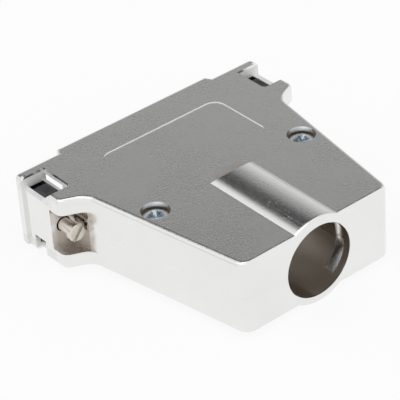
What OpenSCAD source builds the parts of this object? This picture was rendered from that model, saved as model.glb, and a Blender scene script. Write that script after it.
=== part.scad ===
// Die-cast hood for a 50-way D-shaped connector, with captive jackscrews.
// Millimetres. Origin: centre of the jackscrew pattern on the face that the
// connector's flange seats on. +Y points to the mating side, +Z to the top.
// The two shells meet at z = 0 and the cable leaves towards -Y.

/* [Jackscrew pattern] */
// Distance between the two jackscrews
jack_pitch = 61.1; // [50:0.1:74]
// From a jackscrew's axis to the outer side of the front flange
jack_edge = 3.85; // [3.4:0.05:4.4]

/* [Body] */
// Height of the upper shell, from the seam to its flat face
upper_h = 9.1; // [8.8:0.1:11]
// Height of the lower shell, from the seam to its flat face
lower_h = 9.1; // [8.8:0.1:11]
// Length from the connector seat to the rear face
body_len = 61.1; // [57:0.1:74]
// Width over the sides where they would meet the rear face
rear_w = 41; // [39:0.1:50]
// Thickness of the top and bottom plates
plate_t = 1.5; // [1.2:0.1:1.8]
// Thickness of the side walls
side_t = 1.5; // [1.2:0.1:1.8]
// Radius on the edges of the top and bottom faces
edge_r = 1.05; // [0.5:0.05:1.15]
// Radius of the rear corners
rear_r = 3; // [1.5:0.1:3.5]

/* [Connector seat] */
// Height of the connector's flange between the lips
flange_h = 15.4; // [14.9:0.1:15.6]
// How far the middle lips stand in front of the seat
lip_d = 1.6; // [1:0.1:2]
// From the lip's end to the jackscrew's axis
lip_end = 8.15; // [6:0.05:12]
// Thickness of the front flange
strip_t = 2.6; // [2.4:0.1:2.8]
// From the mouth's side to the jackscrew's axis
mouth_land = 2.85; // [2.4:0.05:3]
// Height of the mouth behind the connector's flange
mouth_h = 14.2; // [12:0.1:14.6]

/* [Ears] */
// How far the ears stand back from the flange's side
ear_step = 0.6; // [0:0.05:0.8]
// From the seat to the rear end of an ear's side
ear_side = 15.6; // [15:0.1:18]
// From the seat to the point where an ear meets the body's side
ear_back = 18.2; // [17.8:0.1:21]
// Thickness of an ear's top and bottom plates
ear_t = 3.9; // [3.2:0.1:4.2]
// From the seat to the front wall of the screwdriver pocket
pocket_y = 11.8; // [11.5:0.1:12.4]
// Depth of the chamber between the front flange and the pocket's wall
chamber_l = 6.7; // [6.4:0.1:6.9]

/* [Notches] */
// Depth of the top notch below the top face
notch_d = 2.8; // [2.5:0.1:3.2]
// From the seat to the rear edge of the top notch
notch_back = 12.2; // [11.6:0.1:13]
// Depth of the bottom notch into the ear's side
low_notch_x = 1.8; // [1:0.1:2]

/* [Cable entry] */
// Diameter of the cable entry
entry_d = 17.6; // [14:0.1:21]
// Depth of the entry's lip
entry_lip = 2; // [1.5:0.1:3]
// Width of the groove behind the lip
groove_w = 3.2; // [2:0.1:5]
// How much larger the channel's radius is than the entry's
channel_step = 0.65; // [0.4:0.05:1]
// Wall round the cable channel where the barrel stands out
channel_t = 1.4; // [1.2:0.05:1.8]
// From the seat to the front end of the raised barrel
hump_y = 33.2; // [31:0.1:38]
// Length of the walls on each side of the cable channel
guide_l = 10; // [6:0.1:11]

/* [Shell screws] */
// From the seat to the two shell screws
screw_y = 32.8; // [30:0.1:36]
// From the body's side to a shell screw's axis
screw_in = 4.7; // [4.4:0.05:5.6]
// Diameter of the screw head
head_d = 5.5; // [5.3:0.1:5.6]
// Diameter of the counterbore round the head
counterbore_d = 6.5; // [6.2:0.1:6.8]
// How deep the head sits below the top face
head_sink = 0.7; // [0.3:0.1:1]

/* [Cable clamp] */
// Cable diameter that the clamp closes to
grip_d = 15; // [12:0.5:15.5]
// Width of the clamp straps along the cable
strap_w = 7; // [5:0.5:8]
// From the seat to the middle of the clamp
clamp_y = 39; // [38:0.1:41]

/* [Panel] */
// Length of the shallow recess in the top face
panel_l = 34; // [20:1:40]
// Width of the shallow recess
panel_w = 19; // [10:1:20]
// From the seat to the middle of the recess
panel_y = 17.4; // [15:0.1:20]

/* [Hidden] */

$fn = 48;
eps = 0.5;              // how far a cut runs past a face
join = 0.2;             // how far a wall runs into the one it stands on
arc_steps = 6;          // straight pieces in a rounded corner of an outline
bend_steps = 6;         // straight pieces across a rounded edge
run_gap = 0.05;         // radial clearance of a screw that turns in its bearing
side_gap = 0.3;         // clearance between pieces that slide past each other

// Corners of the body's outline, and the bevel along the seam
ear_fillet = 4;
ear_tip_r = 2;
front_corner_r = 1.2;
lip_slant = 0.9;
seam_bevel = 0.12;

// Distances from a jackscrew's axis towards the middle
notch_in = 2.55;        // inner side of the top notch
ear_root = 2.45;        // side of the body where an ear meets it
pocket_in = 2.4;        // inner side of the screwdriver pocket

jack_x = jack_pitch / 2;
notch_x = jack_x - notch_in;
front_x = jack_x + jack_edge;
ear_x = front_x - ear_step;
ear_in = jack_x - ear_root;
rear_x = rear_w / 2;
roof_z = upper_h - plate_t;
floor_z = lower_h - plate_t;
pocket_x = jack_x - pocket_in;
lip_x = jack_x - lip_end;
mouth_x = jack_x - mouth_land;
wall_front = strip_t + chamber_l;
bend_y = ear_back + 3;     // where the sides of the wiring space turn in

entry_r = entry_d / 2;
channel_r = entry_r + channel_step;
hump_r = channel_r + channel_t;
groove_end = body_len - entry_lip - groove_w;
groove_side = 1.4;      // the groove's flat sides beyond the entry's radius
groove_x = entry_r + groove_side;
groove_t = 1.35;        // what the groove leaves of a plate
lip_bevel = 0.12;

// The walls along the channel: the upper ones reach past the seam as a tongue
tongue = 1;
tongue_gap = 0.15;

// M3 screws
screw_r = 1.5;
screw_hole_r = 1.6;
thread_gap = 0.03;
head_h = 2;
seat_z = upper_h - head_sink - head_h;
boss_r = 3.5;
boss_head_r = 4.3;
collar_t = 1.4;
pilot_d = 6.5;
screw_depth = 6;

// Jackscrew: a 2.84 mm thread, a shoulder, a neck for the retainer, a shank and a head
thread_r = 1.42;
shoulder_r = 1.5;
neck_r = 1.15;
shank_r = 1.6;
flange_hole_r = 1.7;
pocket_hole_r = 1.85;
jack_bevel = 0.3;
jack_head_r = 2.15;
jack_head_h = 1.3;
jack_slot_w = 1;
jack_slot_d = 0.8;
jack_slot_tilt = 39;
jack_tip_y = 2.8;
jack_tip_bevel = 0.4;
jack_head_y = -15.8;

// Retainer block in the chamber
block_l = 4.5;
block_back = 1.6;       // behind the front flange
block_rise = 0.4;       // above the bottom of the top notch
block_in = 1.8;
block_out = 1.9;
block_front = strip_t + block_back;
block_z = upper_h - notch_d + block_rise;
block_bevel = 0.6;

// Bottom notch, from the seat, and its depth
low_notch_front = strip_t + 2.4;
low_notch_back = wall_front - 0.4;
low_notch_d = 4.3;

// Chamber round the retainer
guide_gap = 0.15;
guide_low = 0.2;        // top of the guide rib below the notch's bottom
chamber_in = jack_x - block_in - guide_gap;
chamber_out = jack_x + block_out + guide_gap;
guide_t = 0.7;
guide_z = upper_h - notch_d - guide_low;

// Where the inner side of a pocket meets the body's side
pocket_end = ear_back + (ear_in - pocket_x) * (body_len - ear_back) / (ear_in - rear_x);

// Inner sides of the wiring space, at the chambers and at the pockets
cavity_front = chamber_in - guide_t;
cavity_mid = pocket_x - side_t;

// Cable clamp
strap_t = 1.5;
post_r = 2.6;
foot_end = 3.2;         // from a clamp screw to the end of a strap's foot
clamp_out = 3.8;        // from the channel's radius to a clamp screw
clamp_x = channel_r + clamp_out;

// Half-width of the body at a distance y behind the seat
function side_x(y) = ear_in + (rear_x - ear_in) * (y - ear_back) / (body_len - ear_back);

function cavity_x(y) = side_x(y) - side_t;

function unit(v) = v / norm(v);

// Points of an arc of radius r that rounds the corner b between a and c
function round_corner(a, b, c, r) =
  let (u = unit(a - b), w = unit(c - b))
  let (open = acos(u * w))
  let (centre = b + unit(u + w) * (r / sin(open / 2)))
  let (run = r / tan(open / 2))
  let (from = b + u * run - centre, to = b + w * run - centre)
  let (a0 = atan2(from.y, from.x), a1 = atan2(to.y, to.x))
  let (turn = (a1 - a0 + 540) % 360 - 180)
  [for (i = [0:arc_steps]) centre + r * [cos(a0 + turn * i / arc_steps), sin(a0 + turn * i / arc_steps)]];

// A closed outline from corners of the form [x, y, radius]
function rounded_outline(c) =
  [for (i = [0:len(c) - 1])
    let (a = c[(i + len(c) - 1) % len(c)], b = c[i], d = c[(i + 1) % len(c)])
    each b.z > 0 ? round_corner([a.x, a.y], [b.x, b.y], [d.x, d.y], b.z) : [[b.x, b.y]]];

// The same outline moved inwards by d; its points run anticlockwise
function inset_outline(p, d) =
  [for (i = [0:len(p) - 1])
    let (before = p[i] - p[(i + len(p) - 1) % len(p)], after = p[(i + 1) % len(p)] - p[i])
    let (n1 = unit([-before.y, before.x]), n2 = unit([-after.y, after.x]))
    p[i] + (n1 + n2) * (d / (1 + n1 * n2))];

function mirrored(c) = concat(c, [for (i = [len(c) - 1:-1:0]) [-c[i].x, c[i].y, c[i].z]]);

body_outline = rounded_outline(mirrored([
  [rear_x, -body_len, rear_r],
  [ear_in, -ear_back, ear_fillet],
  [ear_x, -ear_side, ear_tip_r],
  [ear_x, -strip_t, 0],
  [front_x, -strip_t, 0],
  [front_x, 0, front_corner_r],
  [lip_x, 0, 0],
  [lip_x - lip_slant, lip_d, 0]
]));

// A closed ring along the body's outline; its section is a list of [inset, z]
module edge_ring(section) {
  n = len(body_outline);
  m = len(section);
  points = [for (s = section) each [for (p = inset_outline(body_outline, s.x)) [p.x, p.y, s.y]]];
  polyhedron(points, [for (k = [0:m - 1], i = [0:n - 1])
    [k * n + i, ((k + 1) % m) * n + i, ((k + 1) % m) * n + (i + 1) % n, k * n + (i + 1) % n]]);
}

// Half of the body on its outline, h high, with a rounded outer edge and a fine seam bevel
module body_half(h) {
  past = 0.3;
  bend = [for (i = [bend_steps:-1:0]) 90 * i / bend_steps];
  difference() {
    linear_extrude(h) polygon(body_outline);
    edge_ring(concat(
      [[-past, h - edge_r], [-past, h + past], [edge_r, h + past]],
      [for (a = bend) [edge_r * (1 - cos(a)), h - edge_r + edge_r * sin(a)]]
    ));
    edge_ring([[-past, -past], [-past, seam_bevel + past], [seam_bevel + past, -past]]);
  }
}

// Repeats its children on both sides of the middle
module both_sides() {
  children();
  mirror([1, 0, 0]) children();
}

// A cylinder along +Y that starts at y
module rod(r, y, l) {
  translate([0, y, 0]) rotate([-90, 0, 0]) cylinder(r = r, h = l);
}

// A box by its lowest and highest corners
module block(low, high) {
  translate(low) cube(high - low);
}

// The raised barrel over the cable channel of a half h high, with a sloping front end
module hump(h) {
  root = 1;
  slope = hump_r - h;
  intersection() {
    union() {
      rod(hump_r, -body_len + edge_r, body_len - edge_r - hump_y);
      // rounded rear edge
      translate([0, -body_len, 0])
        rotate([-90, 0, 0])
          rotate_extrude()
            polygon(concat([[0, edge_r], [0, 0]], [
              for (i = [0:bend_steps])
                let (a = 90 * i / bend_steps)
                [hump_r - edge_r * (1 - sin(a)), edge_r * (1 - cos(a))]
            ]));
    }
    rotate([90, 0, 90])
      linear_extrude(2 * hump_r, center = true)
        polygon([
          [-body_len, h - root],
          [-hump_y + root, h - root],
          [-hump_y - slope - root, hump_r + root],
          [-body_len, hump_r + root]
        ]);
  }
}

// Everything that is hollow in a half h high, for z above 0
module hollows(h) {
  roof = h - plate_t;
  // between the lips, for the connector's flange
  block([-lip_x - eps, 0, -eps], [lip_x + eps, lip_d + eps, flange_h / 2]);
  // mouth
  block([-mouth_x, -strip_t - join, -eps], [mouth_x, eps, mouth_h / 2]);
  // wiring space
  translate([0, 0, -eps])
    linear_extrude(roof + eps)
      polygon([
        [-cavity_front, -strip_t], [-cavity_front, -wall_front],
        [-cavity_mid, -wall_front], [-cavity_mid, -ear_back],
        [-cavity_x(bend_y), -bend_y], [-cavity_x(body_len - entry_lip), -body_len + entry_lip],
        [cavity_x(body_len - entry_lip), -body_len + entry_lip], [cavity_x(bend_y), -bend_y],
        [cavity_mid, -ear_back], [cavity_mid, -wall_front],
        [cavity_front, -wall_front], [cavity_front, -strip_t]
      ]);
  // cable entry and channel
  rod(entry_r, -body_len - eps, entry_lip + 2 * eps);
  for (end = [0, 1])
    translate([0, -body_len + end * entry_lip, 0])
      mirror([0, end, 0])
        rotate([-90, 0, 0])
          cylinder(r1 = entry_r + lip_bevel, r2 = entry_r, h = lip_bevel);
  // groove for a bushing's flange
  block([-groove_x, -groove_end - groove_w, -eps], [groove_x, -groove_end, h - groove_t]);
  rod(channel_r, -body_len + entry_lip, body_len - entry_lip - hump_y - hump_r + h);
  both_sides() {
    // chamber of the retainer, and the gap above its guide rib
    block([chamber_in, -wall_front, -eps], [chamber_out, -strip_t, roof]);
    block([cavity_front - eps, -wall_front, guide_z], [chamber_in + eps, -strip_t, roof]);
    // screwdriver pocket, open to the side and to the rear along the body's side
    translate([0, 0, -eps])
      linear_extrude(h - ear_t + eps)
        polygon([
          [pocket_x, -pocket_y], [pocket_x, -pocket_end],
          [side_x(bend_y), -bend_y], [front_x + eps, -bend_y], [front_x + eps, -pocket_y]
        ]);
    // jackscrew holes in the front flange and in the pocket's wall
    translate([jack_x, 0, 0]) rod(flange_hole_r, -strip_t - eps, strip_t + 2 * eps);
    translate([jack_x, 0, 0]) rod(pocket_hole_r, -pocket_y - eps, pocket_y - wall_front + 2 * eps);
  }
}

// Walls along the channel and the groove of a half h high, from z = low, and bosses
module inner_walls(h, low) {
  top = h - plate_t + join;
  intersection() {
    difference() {
      rod(hump_r, -groove_end, guide_l);
      rod(channel_r, -groove_end - eps, guide_l + 2 * eps);
    }
    block([-hump_r, -body_len, low], [hump_r, 0, top]);
  }
  both_sides() {
    // side and front of the groove
    block([groove_x, -groove_end - groove_w - join, max(low, 0)], [groove_x + channel_t, -groove_end, top]);
    block([groove_x, -groove_end - groove_w + tongue_gap, low], [groove_x + channel_t, -groove_end + channel_t, top]);
    difference() {
      block([0, -groove_end, low], [groove_x + eps, -groove_end + channel_t, top]);
      rod(channel_r, -groove_end - eps, channel_t + 2 * eps);
    }
    translate([side_x(screw_y) - screw_in, -screw_y, 0]) cylinder(r = boss_r, h = top);
  }
}

// Opening in the top of an ear, with a sloping rear wall
module top_notch() {
  low_z = upper_h - notch_d;
  ramp = notch_back - wall_front + join;
  intersection() {
    rotate([90, 0, 90])
      linear_extrude(front_x + eps)
        polygon([
          [-strip_t, low_z], [-strip_t, upper_h + eps],
          [-notch_back - eps, upper_h + eps], [-notch_back, upper_h],
          [-notch_back + ramp, low_z]
        ]);
    union() {
      corner = 1;
      block([notch_x + corner, -notch_back - eps, 0], [front_x + eps, 0, upper_h + eps]);
      block([notch_x, -notch_back + corner, 0], [notch_x + 2 * corner, 0, upper_h + eps]);
      translate([notch_x + corner, -notch_back + corner, 0]) cylinder(r = corner, h = upper_h + eps);
    }
  }
}

// Shallow plain recess in the top face
module panel_recess() {
  corner = 3;
  depth = 0.2;
  translate([0, -panel_y, upper_h - depth])
    linear_extrude(depth + eps) {
      square([panel_l - 2 * corner, panel_w], center = true);
      square([panel_l, panel_w - 2 * corner], center = true);
      for (sx = [-1, 1], sy = [-1, 1])
        translate([sx * (panel_l / 2 - corner), sy * (panel_w / 2 - corner)]) circle(r = corner);
    }
}

module upper_shell() {
  color("lightgray")
    difference() {
      union() {
        difference() {
          union() {
            body_half(upper_h);
            hump(upper_h);
          }
          hollows(upper_h);
          both_sides() top_notch();
          panel_recess();
        }
        inner_walls(upper_h, -tongue);
        // collar under each counterbore
        both_sides()
          intersection() {
            translate([side_x(screw_y) - screw_in, -screw_y, seat_z - collar_t])
              cylinder(r = boss_head_r, h = roof_z - seat_z + collar_t + join);
            block([0, -body_len, 0], [side_x(screw_y) - side_t / 2, 0, upper_h]);
          }
      }
      both_sides()
        translate([side_x(screw_y) - screw_in, -screw_y, 0]) {
          translate([0, 0, -eps]) cylinder(r = screw_hole_r, h = upper_h);
          translate([0, 0, seat_z]) cylinder(r = counterbore_d / 2, h = upper_h);
        }
    }
}

module lower_shell() {
  color("gainsboro")
    difference() {
      union() {
        mirror([0, 0, 1]) {
          difference() {
            union() {
              body_half(lower_h);
              hump(lower_h);
            }
            hollows(lower_h);
            both_sides()
              block([ear_x - low_notch_x, -low_notch_back, lower_h - low_notch_d],
                    [front_x + eps, -low_notch_front, lower_h + eps]);
          }
          inner_walls(lower_h, tongue + tongue_gap);
        }
        // posts under the cable clamp
        both_sides()
          translate([clamp_x, -clamp_y, -floor_z - join]) cylinder(r = post_r, h = floor_z + join - strap_t);
      }
      both_sides() {
        translate([side_x(screw_y) - screw_in, -screw_y, -pilot_d]) cylinder(r = screw_r + thread_gap, h = lower_h);
        translate([clamp_x, -clamp_y, -pilot_d]) cylinder(r = screw_r + thread_gap, h = lower_h);
      }
    }
}

// Pan-head screw with a cross recess; its head's seat is at z = 0
module pan_screw(length, head_r) {
  dome_r = 5.5;
  wing_l = 3.2;
  wing_w = 0.84;
  recess_z = head_h - 1.3;
  tick_l = 2.3;
  tick_w = 0.18;
  tick_z = head_h - 0.35;
  difference() {
    union() {
      translate([0, 0, -length]) cylinder(r = screw_r, h = length + 0.2);
      intersection() {
        cylinder(r = head_r, h = head_h);
        translate([0, 0, head_h - dome_r]) sphere(r = dome_r, $fn = 96);
      }
    }
    // cross recess
    intersection() {
      for (a = [0, 90])
        rotate([0, 0, a]) block([-wing_l / 2, -wing_w / 2, recess_z], [wing_l / 2, wing_w / 2, head_h + eps]);
      translate([0, 0, recess_z]) cylinder(r1 = 0.7, r2 = 1.75, h = 1.5);
    }
    for (a = [45, 135])
      rotate([0, 0, a]) block([-tick_l / 2, -tick_w / 2, tick_z], [tick_l / 2, tick_w / 2, head_h + eps]);
  }
}

module shell_screw() {
  color("lightsteelblue")
    translate([side_x(screw_y) - screw_in, -screw_y, seat_z])
      rotate([0, 0, 20])
        pan_screw(seat_z + screw_depth, head_d / 2);
}

module clamp_screw() {
  color("lightsteelblue")
    translate([clamp_x, -clamp_y, strap_t])
      pan_screw(strap_t + screw_depth, head_d / 2);
}

// Slotted jackscrew along +Y, its axis through the origin
module jackscrew() {
  color("silver")
    difference() {
      union() {
        translate([0, jack_tip_y - jack_tip_bevel, 0])
          rotate([-90, 0, 0])
            cylinder(r1 = thread_r, r2 = thread_r - jack_tip_bevel, h = jack_tip_bevel);
        rod(thread_r, -eps, jack_tip_y - jack_tip_bevel + eps);
        rod(shoulder_r, -block_front + side_gap, block_front - side_gap);
        rod(neck_r, -block_front - block_l - 1, block_l + 2);
        rod(shank_r, jack_head_y - eps, eps - jack_head_y - block_front - block_l - side_gap);
        rod(jack_head_r, jack_head_y - jack_head_h + jack_bevel, jack_head_h - jack_bevel);
        translate([0, jack_head_y - jack_head_h + jack_bevel, 0])
          rotate([90, 0, 0])
            cylinder(r1 = jack_head_r, r2 = jack_head_r - jack_bevel, h = jack_bevel);
      }
      rotate([0, jack_slot_tilt, 0])
        block([-jack_slot_w / 2, jack_head_y - jack_head_h - eps, -jack_head_r - 1],
              [jack_slot_w / 2, jack_head_y - jack_head_h + jack_slot_d, jack_head_r + 1]);
    }
}

// Plastic block that is pushed over the jackscrew's neck and slides in the chamber
module jackscrew_retainer() {
  mouth = 0.95;
  color("#26262c")
    difference() {
      intersection() {
        block([-block_in, -block_front - block_l, -block_z], [block_out, -block_front, block_z]);
        // bevels along both ends
        rotate([90, 0, 90])
          linear_extrude(2 * (block_in + block_out), center = true)
            bevelled_section(-block_front - block_l, -block_front, block_z, block_bevel);
        rotate([90, 0, 0])
          linear_extrude(4 * block_l, center = true)
            bevelled_section(-block_in, block_out, block_z, block_bevel);
      }
      rod(neck_r + run_gap, -block_front - block_l - eps, block_l + 2 * eps);
      block([-mouth, -block_front - block_l - eps, -block_z - eps], [mouth, -block_front + eps, 0]);
    }
}

// Rectangle from a to b and from -h to h with its four corners cut off
module bevelled_section(a, b, h, c) {
  polygon([
    [a + c, -h], [b - c, -h], [b, -h + c], [b, h - c],
    [b - c, h], [a + c, h], [a, h - c], [a, -h + c]
  ]);
}

// One strap of the cable clamp: a half ring with a flat foot on each side
module clamp_strap() {
  foot_x = clamp_x + foot_end;
  translate([0, -clamp_y, 0])
    difference() {
      union() {
        intersection() {
          rod(grip_d / 2 + strap_t, -strap_w / 2, strap_w);
          block([-hump_r, -strap_w, 0], [hump_r, strap_w, hump_r]);
        }
        block([-foot_x, -strap_w / 2, 0], [foot_x, strap_w / 2, strap_t]);
      }
      rod(grip_d / 2, -strap_w, 2 * strap_w);
      both_sides() translate([clamp_x, 0, -eps]) cylinder(r = screw_hole_r, h = strap_t + 2 * eps);
    }
}

module shell_screw_left() { mirror([1, 0, 0]) shell_screw(); }
module shell_screw_right() { shell_screw(); }
module jackscrew_left() { translate([-jack_x, 0, 0]) jackscrew(); }
module jackscrew_right() { translate([jack_x, 0, 0]) jackscrew(); }
module jackscrew_retainer_left() { mirror([1, 0, 0]) jackscrew_retainer_right(); }
module jackscrew_retainer_right() { translate([jack_x, 0, 0]) jackscrew_retainer(); }
module cable_clamp_upper() { color("silver") clamp_strap(); }
module cable_clamp_lower() { color("silver") mirror([0, 0, 1]) clamp_strap(); }
module clamp_screw_left() { mirror([1, 0, 0]) clamp_screw(); }
module clamp_screw_right() { clamp_screw(); }

upper_shell();
lower_shell();
shell_screw_left();
shell_screw_right();
jackscrew_left();
jackscrew_right();
jackscrew_retainer_left();
jackscrew_retainer_right();
cable_clamp_upper();
cable_clamp_lower();
clamp_screw_left();
clamp_screw_right();
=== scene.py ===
import math

import bpy
from mathutils import Matrix, Vector


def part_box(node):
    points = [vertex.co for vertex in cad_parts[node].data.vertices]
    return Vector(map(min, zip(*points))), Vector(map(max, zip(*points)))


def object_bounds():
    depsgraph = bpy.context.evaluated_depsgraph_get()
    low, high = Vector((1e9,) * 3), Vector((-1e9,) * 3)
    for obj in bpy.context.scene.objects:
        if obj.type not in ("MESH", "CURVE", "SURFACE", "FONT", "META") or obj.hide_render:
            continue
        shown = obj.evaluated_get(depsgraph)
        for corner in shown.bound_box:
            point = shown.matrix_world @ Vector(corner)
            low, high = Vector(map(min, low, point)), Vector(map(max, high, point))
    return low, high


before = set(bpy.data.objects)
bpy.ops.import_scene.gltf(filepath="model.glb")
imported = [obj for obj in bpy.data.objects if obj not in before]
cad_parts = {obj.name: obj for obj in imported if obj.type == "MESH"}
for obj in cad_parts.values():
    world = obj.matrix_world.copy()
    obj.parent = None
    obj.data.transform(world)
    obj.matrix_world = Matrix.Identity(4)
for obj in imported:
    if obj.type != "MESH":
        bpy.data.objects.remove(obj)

bl_info = {
    "name": "Die-cast connector hood finishes",
    "version": (1, 0, 0),
    "blender": (4, 5, 0),
    "location": "3D View > Sidebar > Hood",
    "description": "Plated metal, screw and plastic finishes for a connector hood, with its studio stage",
    "category": "Object",
}

for leftover in ("Cube", "Light", "Camera"):
    if leftover in bpy.data.objects:
        bpy.data.objects.remove(bpy.data.objects[leftover], do_unlink=True)

CAD_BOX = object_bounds()
SHELLS = ("upper_shell", "lower_shell")
SHELL_SCREWS = ("shell_screw_left", "shell_screw_right")
CLAMP_SCREWS = ("clamp_screw_left", "clamp_screw_right")
JACKSCREWS = ("jackscrew_left", "jackscrew_right")
RETAINERS = ("jackscrew_retainer_left", "jackscrew_retainer_right")
STRAPS = ("cable_clamp_upper", "cable_clamp_lower")

# Where the shells' painted shade, roughness and metal change, in metres: first where a change is still 0,
# then where it is full.
BORE_RADIUS = (0.0101, 0.0097)
BORE_REAR = (-0.0609, -0.0603)
BORE_FRONT = (-0.0300, -0.0340)
WELL_RADIUS = (0.00345, 0.0033)
WELL_TOP = (0.0090, 0.0079)
WELL_FLOOR = (0.0060, 0.0064)
EAR_INSIDE = (0.0276, 0.0279)
EAR_OUTSIDE = (0.0330, 0.0322)
NOTCH_REAR = (-0.0130, -0.0124)
NOTCH_FRONT = (-0.0009, -0.0015)
NOTCH_LEDGE = (0.0058, 0.0062)
NOTCH_TOP = (0.0087, 0.0083)
POCKET_FRONT = (-0.0112, -0.0116)
POCKET_REAR = (-0.0200, -0.0190)
POCKET_HEIGHT = (0.0055, 0.0053)

SKY_WHITE = 0.97
SKY_RISE = (
    (0.0, 0.74),
    (0.10, 0.72),
    (0.30, 0.60),
    (0.48, 0.43),
    (0.57, 0.33),
    (0.64, 0.19),
    (0.71, 0.04),
    (1.0, 0.03),
)
KEY_PLACE = (-0.10, 0.05, 0.55)
KEY_WIDTH = 0.5
SENSOR_WIDTH = 36.0
FINE_RELIEF = 0.00001
TOOL_RINGS = 26000.0


# ---------------------------------------------------------------- shader maths


class Value:
    """A number socket that can be used in plain arithmetic."""

    def __init__(self, web, socket):
        self.web = web
        self.socket = socket

    def made(self, operation, first, second):
        return self.web.read("ShaderNodeMath", 0, {"operation": operation}, {0: first, 1: second})

    def __add__(self, other):
        return self.made("ADD", self, other)

    def __radd__(self, other):
        return self.made("ADD", other, self)

    def __sub__(self, other):
        return self.made("SUBTRACT", self, other)

    def __rsub__(self, other):
        return self.made("SUBTRACT", other, self)

    def __mul__(self, other):
        return self.made("MULTIPLY", self, other)

    def __rmul__(self, other):
        return self.made("MULTIPLY", other, self)

    def __pow__(self, other):
        return self.made("POWER", self, other)


class Web:
    """A node tree that is filled in one node at a time."""

    def __init__(self, tree):
        self.tree = tree

    def add(self, kind, settings=None, inputs=None):
        """Adds a node: its settings first, then the values or links of its sockets."""
        node = self.tree.nodes.new(kind)
        for name, value in (settings or {}).items():
            if name == "stops":
                ramp = node.color_ramp
                while len(ramp.elements) < len(value):
                    ramp.elements.new(1.0)
                for stop, (place, grey) in zip(ramp.elements, value):
                    stop.position = place
                    stop.color = (grey, grey, grey, 1.0)
            else:
                setattr(node, name, value)
        for key, value in (inputs or {}).items():
            if isinstance(value, Value):
                self.tree.links.new(value.socket, node.inputs[key])
            elif isinstance(value, bpy.types.NodeSocket):
                self.tree.links.new(value, node.inputs[key])
            else:
                node.inputs[key].default_value = value
        return node

    def read(self, kind, output, settings=None, inputs=None):
        """Adds a node and gives one of its number outputs."""
        return Value(self, self.add(kind, settings, inputs).outputs[output])

    def parts(self, vector):
        """The three numbers of a vector."""
        node = self.add("ShaderNodeSeparateXYZ", None, {0: vector})
        return [Value(self, node.outputs[i]) for i in range(3)]

    def step(self, value, low, high):
        """0 below low, 1 above high, with a soft rise between; low may be the larger."""
        settings = {"interpolation_type": "SMOOTHSTEP"}
        ends = {1: low, 2: high, 3: 0.0, 4: 1.0}
        if low > high:
            ends = {1: high, 2: low, 3: 1.0, 4: 0.0}
        return self.read("ShaderNodeMapRange", 0, settings, {0: value, **ends})

    def larger(self, first, second):
        """The larger of two numbers."""
        return self.read("ShaderNodeMath", 0, {"operation": "MAXIMUM"}, {0: first, 1: second})

    def sine(self, value):
        return self.read("ShaderNodeMath", 0, {"operation": "SINE"}, {0: value})

    def blend(self, factor, first, second):
        """A colour between two colours."""
        settings = {"data_type": "RGBA", "clamp_factor": True}
        made = self.add("ShaderNodeMix", settings, {0: factor, 6: first, 7: second})
        return made.outputs[2]

    def relief(self, height, strength, distance):
        """The surface direction after a small relief."""
        sizes = {"Strength": strength, "Distance": distance, "Height": height}
        return self.add("ShaderNodeBump", None, sizes).outputs["Normal"]

    def noise(self, place, scale, detail=2.0, rough=0.5):
        """Even noise from 0 to 1, with scale in cells a metre."""
        return self.read(
            "ShaderNodeTexNoise",
            0,
            {"noise_dimensions": "3D"},
            {"Vector": place, "Scale": scale, "Detail": detail, "Roughness": rough},
        )


def rgba(colour, share=1.0):
    return (colour[0] * share, colour[1] * share, colour[2] * share, 1.0)


def middle(name):
    low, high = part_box(name)
    return [(low[i] + high[i]) / 2 for i in range(3)]


def squared(ends):
    return ends[0] ** 2, ends[1] ** 2


def blank(name):
    """A new material with its web and its surface shader."""
    old = bpy.data.materials.get(name)
    if old:
        bpy.data.materials.remove(old)
    material = bpy.data.materials.new(name)
    material.use_nodes = True
    shader = next(n for n in material.node_tree.nodes if n.type == "BSDF_PRINCIPLED")
    return material, Web(material.node_tree), shader


def feed(web, shader, **sources):
    """Links colour, roughness, metal or normal into the surface shader."""
    for key, source in sources.items():
        socket = source.socket if isinstance(source, Value) else source
        name = "Base Color" if key == "colour" else key.title()
        web.tree.links.new(socket, shader.inputs[name])


def wear(nodes, material):
    """Puts a material on every slot of the named parts."""
    for name in nodes:
        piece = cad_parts[name]
        if not piece.material_slots:
            piece.data.materials.append(material)
        for slot in piece.material_slots:
            slot.material = material


# ---------------------------------------------------------------- finishes


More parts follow.
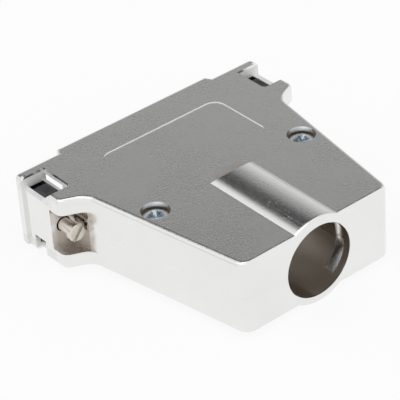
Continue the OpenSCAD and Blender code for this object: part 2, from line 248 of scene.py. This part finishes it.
def plated_casting(s):
    """Satin nickel over a zinc casting, with a cast grain on its flat faces and painted shade, darker and
    browner, in the bore, the screw wells and the jackscrew pockets.
    """
    material, web, shader = blank("nickel_casting_plate")
    place = web.add("ShaderNodeTexCoord").outputs["Object"]
    x, y, z = web.parts(place)
    up = web.parts(web.add("ShaderNodeNewGeometry").outputs["True Normal"])[2]
    flat = web.step(up * up, 0.80, 0.97)
    level = web.step(up * up, 0.975, 0.998)
    # Masks of the bore, the screw wells and the jackscrew pockets, where painted shade makes the plate
    # darker and browner; the bore and wells are also made rougher.
    shaded_hollows = web.step((x * x + z * z) ** 0.5, *BORE_RADIUS) * web.step(y, *BORE_REAR)
    shaded_hollows = shaded_hollows * web.step(y, *BORE_FRONT)
    past_body = web.step(x * x, *squared(EAR_INSIDE))
    notch = past_body * web.step(y, *NOTCH_REAR) * web.step(y, *NOTCH_FRONT)
    notch = notch * web.step(z * z, *squared(NOTCH_LEDGE)) * web.step(z * z, *squared(NOTCH_TOP))
    pocket_shade = past_body * web.step(y, *POCKET_FRONT) * web.step(y, *POCKET_REAR)
    pocket_shade = pocket_shade * web.step(z * z, *squared(POCKET_HEIGHT)) * web.step(x * x, *squared(EAR_OUTSIDE))
    depth = web.step(z, *WELL_TOP) * web.step(z, *WELL_FLOOR)
    for name in SHELL_SCREWS:
        centre = middle(name)
        away = ((x - centre[0]) ** 2.0 + (y - centre[1]) ** 2.0) ** 0.5
        shaded_hollows = shaded_hollows + web.step(away, *WELL_RADIUS) * depth
    grain = web.noise(place, 2700.0, 3.0, 0.65)
    pits = web.step(web.noise(place, 1500.0, 1.0), 0.66, 0.78)
    broad = web.noise(place, 70.0, 3.0, 0.55)
    flow = web.noise(place, 14.0, 1.0, 0.5)
    shade = broad * 0.6 + flow * 0.4 + (grain - 0.5) * (0.15 + flat * 0.75)
    plate = web.blend(web.step(shade, 0.2, 0.8), rgba(s.nickel, 0.955), rgba(s.nickel, 1.03))
    # Painted shade: the bore and screw wells take the dark brown colour fully, the jackscrew pockets take
    # it at 0.45.
    colour = web.blend(shaded_hollows + pocket_shade * 0.45, plate, rgba(s.shaded_hollows))
    metal = 1.0 - notch * 0.75
    rough = s.nickel_roughness + level * s.cast_roughness + (broad - 0.5) * 0.06 + (grain - 0.5) * 0.06
    rough = rough + shaded_hollows * 0.22 + notch * 0.35
    height = grain * (0.08 + flat * 0.92) - pits * (0.1 + flat * 0.3) + broad * 0.5
    normal = web.relief(height, 1.0, s.cast_grain)
    feed(web, shader, colour=colour, roughness=rough, metallic=metal, normal=normal)
    return material


def turned_screw(screw, plate, colour, roughness, axis):
    """Plated turned steel: faint tool rings about the screw's own axis, smoother at its rim."""
    material, web, shader = blank(screw + plate)
    low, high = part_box(screw)
    reach = (high[0] - low[0]) / 2
    centre = middle(screw)
    place = web.add("ShaderNodeTexCoord").outputs["Object"]
    numbers = web.parts(place)
    across = [numbers[i] - centre[i] for i in range(3) if i != axis]
    radius = (across[0] * across[0] + across[1] * across[1]) ** 0.5
    along = numbers[axis] - centre[axis]
    rings = web.sine((radius + along) * TOOL_RINGS)
    mottle = web.noise(place, 900.0, 3.0, 0.6)
    fine = web.noise(place, 5200.0, 2.0, 0.5)
    shade = mottle + rings * 0.08
    tone = web.blend(web.step(shade, 0.25, 0.8), rgba(colour, 0.9), rgba(colour, 1.06))
    edge = web.step(radius, reach * 0.86, reach)
    rough = roughness + (mottle - 0.5) * 0.16 + rings * 0.02 - edge * 0.05
    height = rings * 0.3 + fine * 0.6
    shader.inputs["Metallic"].default_value = 1.0
    feed(web, shader, colour=tone, roughness=rough, normal=web.relief(height, 0.25, FINE_RELIEF))
    return material


def moulded_plastic(s):
    """Black moulded nylon with a half gloss and a slight flow mark."""
    material, web, shader = blank("black_plastic_moulding")
    place = web.add("ShaderNodeTexCoord").outputs["Object"]
    flow = web.noise(place, 420.0, 3.0, 0.6)
    skin = web.noise(place, 5000.0, 2.0, 0.5)
    colour = web.blend(web.step(flow, 0.3, 0.75), rgba(s.plastic, 0.8), rgba(s.plastic, 1.35))
    rough = s.plastic_roughness + (flow - 0.5) * 0.14 + (skin - 0.5) * 0.08
    shader.inputs["Metallic"].default_value = 0.0
    shader.inputs["IOR"].default_value = 1.53
    feed(web, shader, colour=colour, roughness=rough, normal=web.relief(skin + flow, 0.3, FINE_RELIEF))
    return material


def rolled_strip(s):
    """Zinc-plated strip with rolling lines along its length."""
    material, web, shader = blank("strap_steel_strip")
    place = web.add("ShaderNodeTexCoord").outputs["Object"]
    drawn = web.add("ShaderNodeVectorMath", {"operation": "MULTIPLY"}, {0: place, 1: (0.06, 1.0, 0.5)})
    lines = web.noise(drawn.outputs[0], 5200.0, 3.0, 0.6)
    broad = web.noise(place, 160.0, 2.0, 0.5)
    shade = web.step(lines * 0.6 + broad * 0.4, 0.3, 0.7)
    colour = web.blend(shade, rgba(s.strap, 0.9), rgba(s.strap, 1.07))
    rough = s.strap_roughness + (lines - 0.5) * 0.2 + (broad - 0.5) * 0.08
    shader.inputs["Metallic"].default_value = 1.0
    feed(web, shader, colour=colour, roughness=rough, normal=web.relief(lines, 0.35, FINE_RELIEF))
    return material


# ---------------------------------------------------------------- settings


def colour_property(name, description, default):
    return bpy.props.FloatVectorProperty(
        name=name, description=description, default=default, subtype="COLOR", size=3, min=0.0, max=1.0
    )


def share_property(name, description, default):
    return bpy.props.FloatProperty(
        name=name, description=description, default=default, subtype="FACTOR", min=0.0, max=1.0
    )


class HoodFinish(bpy.types.PropertyGroup):
    """Colours and textures of the hood's metals and plastic."""

    nickel: colour_property("Nickel plate", "Colour of the plated shells", (0.845, 0.843, 0.832))
    # Painted shade: the dark brown colour painted into the bore, the screw wells and the jackscrew
    # pockets, not a different plate.
    shaded_hollows: colour_property("Bore plate", "Colour of the plate in the bore and wells", (0.60, 0.53, 0.46))
    nickel_roughness: share_property("Plate roughness", "Roughness of the smooth sides", 0.16)
    cast_roughness: share_property("Cast roughness", "Extra roughness of the flat cast faces", 0.12)
    cast_grain: bpy.props.FloatProperty(
        name="Cast grain",
        description="Height of the grain on the flat cast faces",
        default=0.00005,
        min=0.0,
        max=0.001,
        precision=6,
        subtype="DISTANCE",
        unit="LENGTH",
    )
    zinc: colour_property("Zinc plate", "Colour of the shell and clamp screws", (0.60, 0.67, 0.72))
    zinc_roughness: share_property("Zinc roughness", "Roughness of the shell and clamp screws", 0.27)
    jack: colour_property("Jackscrew plate", "Colour of the captive jackscrews", (0.72, 0.68, 0.625))
    jack_roughness: share_property("Jackscrew roughness", "Roughness of the captive jackscrews", 0.17)
    plastic: colour_property("Plastic", "Colour of the retainer blocks", (0.020, 0.021, 0.027))
    plastic_roughness: share_property("Plastic roughness", "Roughness of the retainer blocks", 0.30)
    strap: colour_property("Strap steel", "Colour of the cable clamp straps", (0.66, 0.66, 0.655))
    strap_roughness: share_property("Strap roughness", "Roughness of the cable clamp straps", 0.30)


class HoodStage(bpy.types.PropertyGroup):
    """Floor, light and view."""

    floor_colour: colour_property("Floor", "Colour of the floor", (0.95, 0.95, 0.95))
    floor_half: bpy.props.FloatProperty(
        name="Floor half width",
        description="Half the width of the floor",
        default=3.0,
        min=0.2,
        subtype="DISTANCE",
        unit="LENGTH",
    )
    shadow_share: share_property("Floor shadow", "How much of the shadow the white floor shows", 0.14)
    key_power: bpy.props.FloatProperty(
        name="Key light",
        description="Power of the soft overhead light",
        default=0.35,
        min=0.0,
        unit="POWER",
    )
    turn: bpy.props.FloatProperty(
        name="View turn",
        description="Direction the camera looks from, about the vertical",
        default=math.radians(-37.52551446),
        subtype="ANGLE",
        unit="ROTATION",
    )
    height: bpy.props.FloatProperty(
        name="View height",
        description="Angle of the camera above the floor",
        default=math.radians(34.61791082),
        subtype="ANGLE",
        unit="ROTATION",
    )
    roll: bpy.props.FloatProperty(
        name="View roll",
        description="Roll of the camera about its own axis",
        default=math.radians(4.16502175),
        subtype="ANGLE",
        unit="ROTATION",
    )
    place: bpy.props.FloatVectorProperty(
        name="Camera place",
        description="Where the camera stands",
        default=(-0.235925, -0.328608, 0.263352),
        subtype="TRANSLATION",
        unit="LENGTH",
        size=3,
        precision=6,
    )
    lens: bpy.props.FloatProperty(
        name="Lens", description="Focal length of the camera", default=189.459, min=1.0, unit="CAMERA"
    )


# ---------------------------------------------------------------- stage


def studio_sky(world):
    """White in front and at the back left, and darkening upwards at the back right."""
    world.use_nodes = True
    world.node_tree.nodes.clear()
    web = Web(world.node_tree)
    x, y, z = web.parts(web.add("ShaderNodeTexCoord").outputs["Generated"])
    rise = web.add("ShaderNodeValToRGB", {"stops": SKY_RISE}, {0: z})
    grey = web.parts(rise.outputs[0])[0]
    front = web.step(y, 0.34, 0.02)
    left = web.step(x, -0.02, -0.26) * web.step(z, 0.12, 0.4)
    lit = web.larger(front, left)
    seen = grey * (1.0 - lit) + lit * SKY_WHITE
    path = web.add("ShaderNodeLightPath")
    camera = Value(web, path.outputs["Is Camera Ray"])
    level = seen * (1.0 - camera) + camera
    shine = web.add("ShaderNodeBackground", None, {"Color": (1.0, 1.0, 1.0, 1.0), "Strength": level})
    web.add("ShaderNodeOutputWorld", None, {0: shine.outputs[0]})


def white_floor(s):
    """A pale floor that looks white and still takes the hood's shadow."""
    material, web, shader = blank("stage_floor")
    shader.inputs["Base Color"].default_value = rgba(s.floor_colour)
    shader.inputs["Roughness"].default_value = 0.9
    path = web.add("ShaderNodeLightPath")
    camera = Value(web, path.outputs["Is Camera Ray"])
    glossy = Value(web, path.outputs["Is Glossy Ray"])
    through = Value(web, path.outputs["Is Transmission Ray"])
    direct = web.larger(web.larger(camera, glossy), through)
    glow = web.add("ShaderNodeEmission", None, {"Color": (1.0, 1.0, 1.0, 1.0), "Strength": 1.0})
    both = web.add(
        "ShaderNodeMixShader",
        None,
        {0: direct * (1.0 - s.shadow_share), 1: shader.outputs[0], 2: glow.outputs[0]},
    )
    out = next(n for n in material.node_tree.nodes if n.type == "OUTPUT_MATERIAL")
    web.tree.links.new(both.outputs[0], out.inputs["Surface"])
    return material


def add_floor(s):
    low = CAD_BOX[0][2]
    half = s.floor_half
    mesh = bpy.data.meshes.new("floor")
    corners = [(-half, -half, low), (half, -half, low), (half, half, low), (-half, half, low)]
    mesh.from_pydata(corners, [], [(0, 1, 2, 3)])
    floor = bpy.data.objects.new("floor", mesh)
    bpy.context.scene.collection.objects.link(floor)
    floor.data.materials.append(white_floor(s))


def add_key_light(s):
    """A soft round light above, turned to the hood."""
    lamp = bpy.data.lights.new("key", "AREA")
    lamp.shape = "DISK"
    lamp.size = KEY_WIDTH
    lamp.energy = s.key_power
    holder = bpy.data.objects.new("key", lamp)
    bpy.context.scene.collection.objects.link(holder)
    holder.location = KEY_PLACE
    holder.rotation_mode = "QUATERNION"
    holder.rotation_quaternion = (-Vector(KEY_PLACE)).to_track_quat("-Z", "Y")


def add_camera(s):
    lens = bpy.data.cameras.new("view")
    lens.lens = s.lens
    lens.sensor_width = SENSOR_WIDTH
    lens.clip_start = 0.01
    lens.clip_end = 20.0
    camera = bpy.data.objects.new("view", lens)
    bpy.context.scene.collection.objects.link(camera)
    back = Vector(
        (
            math.sin(s.turn) * math.cos(s.height),
            -math.cos(s.turn) * math.cos(s.height),
            math.sin(s.height),
        )
    )
    right = Vector((math.cos(s.turn), math.sin(s.turn), 0.0))
    up = back.cross(right)
    across = right * math.cos(s.roll) - up * math.sin(s.roll)
    over = right * math.sin(s.roll) + up * math.cos(s.roll)
    turned = Matrix((across, over, back)).transposed().to_4x4()
    camera.matrix_world = Matrix.Translation(Vector(s.place)) @ turned
    bpy.context.scene.camera = camera


# ---------------------------------------------------------------- operators


def settings():
    scene = bpy.context.scene
    return scene.hood_finish, scene.hood_stage


class HOOD_OT_shells(bpy.types.Operator):
    """Plate the two cast shells"""

    bl_idname = "hood.shells"
    bl_label = "Plate the shells"

    def execute(self, context):
        finish, _ = settings()
        wear(SHELLS, plated_casting(finish))
        return {"FINISHED"}


class HOOD_OT_small_screws(bpy.types.Operator):
    """Plate the shell screws and the clamp screws"""

    bl_idname = "hood.small_screws"
    bl_label = "Plate the small screws"

    def execute(self, context):
        finish, _ = settings()
        for name in SHELL_SCREWS + CLAMP_SCREWS:
            wear((name,), turned_screw(name, "_zinc", finish.zinc, finish.zinc_roughness, 2))
        return {"FINISHED"}


class HOOD_OT_jackscrews(bpy.types.Operator):
    """Plate the captive jackscrews"""

    bl_idname = "hood.jackscrews"
    bl_label = "Plate the jackscrews"

    def execute(self, context):
        finish, _ = settings()
        for name in JACKSCREWS:
            wear((name,), turned_screw(name, "_nickel", finish.jack, finish.jack_roughness, 1))
        return {"FINISHED"}


class HOOD_OT_retainers(bpy.types.Operator):
    """Colour the moulded retainer blocks"""

    bl_idname = "hood.retainers"
    bl_label = "Mould the retainers"

    def execute(self, context):
        finish, _ = settings()
        wear(RETAINERS, moulded_plastic(finish))
        return {"FINISHED"}


class HOOD_OT_straps(bpy.types.Operator):
    """Roll the cable clamp straps"""

    bl_idname = "hood.straps"
    bl_label = "Roll the clamp straps"

    def execute(self, context):
        finish, _ = settings()
        wear(STRAPS, rolled_strip(finish))
        return {"FINISHED"}


class HOOD_OT_stage(bpy.types.Operator):
    """Set out the floor, the light and the camera"""

    bl_idname = "hood.stage"
    bl_label = "Set the stage"

    def execute(self, context):
        _, stage = settings()
        scene = bpy.context.scene
        if scene.world is None:
            scene.world = bpy.data.worlds.new("studio")
        studio_sky(scene.world)
        add_floor(stage)
        add_key_light(stage)
        add_camera(stage)
        scene.view_settings.view_transform = "Standard"
        return {"FINISHED"}


class HOOD_PT_sidebar(bpy.types.Panel):
    """Hood finishes and stage"""

    bl_idname = "HOOD_PT_sidebar"
    bl_label = "Connector hood"
    bl_space_type = "VIEW_3D"
    bl_region_type = "UI"
    bl_category = "Hood"

    def draw(self, context):
        layout = self.layout
        finish = context.scene.hood_finish
        stage = context.scene.hood_stage
        for operator in OPERATORS:
            layout.operator(operator.bl_idname)
        for group in (finish, stage):
            box = layout.box()
            for key in group.bl_rna.properties.keys():
                if key not in ("rna_type", "name"):
                    box.prop(group, key)


OPERATORS = (
    HOOD_OT_shells,
    HOOD_OT_small_screws,
    HOOD_OT_jackscrews,
    HOOD_OT_retainers,
    HOOD_OT_straps,
    HOOD_OT_stage,
)
CLASSES = (HoodFinish, HoodStage, *OPERATORS, HOOD_PT_sidebar)


def register():
    for made in CLASSES:
        bpy.utils.register_class(made)
    bpy.types.Scene.hood_finish = bpy.props.PointerProperty(type=HoodFinish)
    bpy.types.Scene.hood_stage = bpy.props.PointerProperty(type=HoodStage)


def unregister():
    del bpy.types.Scene.hood_stage
    del bpy.types.Scene.hood_finish
    for made in reversed(CLASSES):
        bpy.utils.unregister_class(made)


def main():
    register()
    bpy.ops.hood.stage()
    bpy.ops.hood.shells()
    bpy.ops.hood.small_screws()
    bpy.ops.hood.jackscrews()
    bpy.ops.hood.retainers()
    bpy.ops.hood.straps()


if __name__ == "__main__":
    main()
